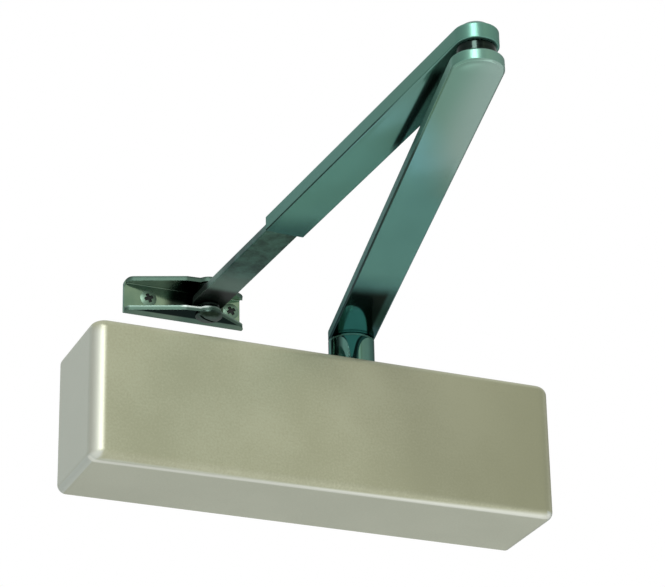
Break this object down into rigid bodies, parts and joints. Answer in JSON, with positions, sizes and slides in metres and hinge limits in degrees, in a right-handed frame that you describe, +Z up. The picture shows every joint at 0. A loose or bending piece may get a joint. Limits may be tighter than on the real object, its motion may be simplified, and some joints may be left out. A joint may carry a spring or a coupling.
{
  "type": "overhead door closer",
  "caption": "Overhead door closer: covered rack-and-pinion body, folding polished arm with a length-adjusting rod, and a pivoting frame bracket.",
  "frame": {"origin": "on the door face behind the closer, level with the middle of the closer body", "axes": "+Y into the door, +X along the closer towards the hinge side, +Z up; the door is closed at rest"},
  "size_m": [0.25, 0.33, 0.1236],
  "materials": {
    "satin_nickel": "satin nickel, fine grain",
    "polished_steel": "polished, green tinted",
    "dull_steel": "dull zinc",
    "plate_steel": "zinc plated",
    "cast_aluminium": "die cast",
    "hardened_steel": "ground",
    "valve_brass": "turned",
    "seal_rubber": "matt"
  },
  "bodies": {
    "closer_body": {"mounting_plate": "plate_steel", "body_casting": "cast_aluminium", "spring_end_cap": "cast_aluminium", "valve_end_cap": "cast_aluminium", "end_cap_seals": "seal_rubber", "upper_bearing_plug": "cast_aluminium", "lower_bearing_plug": "cast_aluminium", "upper_bearing": "hardened_steel", "lower_bearing": "hardened_steel", "spindle_seal": "seal_rubber", "valve_seals": "seal_rubber", "body_screws": "plate_steel", "closing_spring": "hardened_steel"},
    "spindle_and_arm": {"pinion_shaft": "hardened_steel", "arm_hub": "polished_steel", "main_arm": "polished_steel", "arm_washer": "polished_steel", "arm_screw": "polished_steel", "elbow_stud": "polished_steel"},
    "piston": {"piston": "hardened_steel", "check_ball_retainer": "hardened_steel"},
    "check_ball": {"check_ball": "hardened_steel"},
    "spring_seat": {"spring_seat": "plate_steel"},
    "power_adjust_screw": {"power_adjust_screw": "plate_steel"},
    "closing_valve": {"closing_valve": "valve_brass"},
    "latch_valve": {"latch_valve": "valve_brass"},
    "backcheck_valve": {"backcheck_valve": "valve_brass"},
    "cover": {"cover": "satin_nickel"},
    "forearm": {"forearm_sleeve": "polished_steel", "elbow_spacer": "dull_steel", "clamp_screw": "polished_steel"},
    "adjusting_rod": {"adjusting_rod": "dull_steel"},
    "bracket": {"bracket": "polished_steel", "bracket_screws": "polished_steel", "pivot_pin": "polished_steel", "pivot_bushes": "dull_steel"}
  },
  "joints": [
    {"name": "door_opening", "type": "hinge", "parent": "closer_body", "child": "spindle_and_arm", "pos_m": [0.0247, -0.025, 0], "axis": [0, 0, -1], "range_deg": [0, 150], "stiffness_Nm_per_rad": 4, "springref_deg": -28.65},
    {"name": "piston_slide", "type": "slide", "parent": "closer_body", "child": "piston", "axis": [1, 0, 0], "range_m": [-0.02161, 0.00001], "deforming": ["closing_spring"]},
    {"name": "check_ball_lift", "type": "slide", "parent": "piston", "child": "check_ball", "axis": [1, 0, 0], "range_m": [0, 0.0012]},
    {"name": "power_screw_turn", "type": "hinge", "parent": "closer_body", "child": "power_adjust_screw", "pos_m": [-0.085, -0.025, 0], "axis": [1, 0, 0], "range_deg": [-1, 1081]},
    {"name": "spring_seat_slide", "type": "slide", "parent": "closer_body", "child": "spring_seat", "axis": [1, 0, 0], "range_m": [0, 0.0045]},
    {"name": "closing_valve_turn", "type": "hinge", "parent": "closer_body", "child": "closing_valve", "pos_m": [0.095, -0.0403, 0.0265], "axis": [1, 0, 0], "range_deg": [-360, 360]},
    {"name": "latch_valve_turn", "type": "hinge", "parent": "closer_body", "child": "latch_valve", "pos_m": [0.095, -0.0403, -0.0265], "axis": [1, 0, 0], "range_deg": [-360, 360]},
    {"name": "backcheck_valve_turn", "type": "hinge", "parent": "closer_body", "child": "backcheck_valve", "pos_m": [0.095, -0.0097, 0.0265], "axis": [1, 0, 0], "range_deg": [-360, 360]},
    {"name": "cover_pull", "type": "slide", "parent": "closer_body", "child": "cover", "axis": [0, -1, 0], "range_m": [0, 0.08]},
    {"name": "elbow", "type": "hinge", "parent": "spindle_and_arm", "child": "forearm", "pos_m": [-0.03542, -0.30307, 0.0648], "axis": [0, 0, 1], "range_deg": [-3, 150]},
    {"name": "rod_slide", "type": "slide", "parent": "forearm", "child": "adjusting_rod", "axis": [-0.0506, 0.9987, 0], "range_m": [-0.05, 0.04]},
    {"name": "bracket_pivot", "type": "hinge", "parent": "adjusting_rod", "child": "bracket", "pos_m": [-0.0501, -0.0134, 0.0725], "axis": [0, 0, 1], "range_deg": [-85, 85]}
  ],
  "couplings": [
    {"joint": "piston_slide", "follows": "door_opening", "m_per_rad": -0.00825},
    {"joint": "power_screw_turn", "follows": "spring_seat_slide", "rad_per_m": 4188.8}
  ]
}
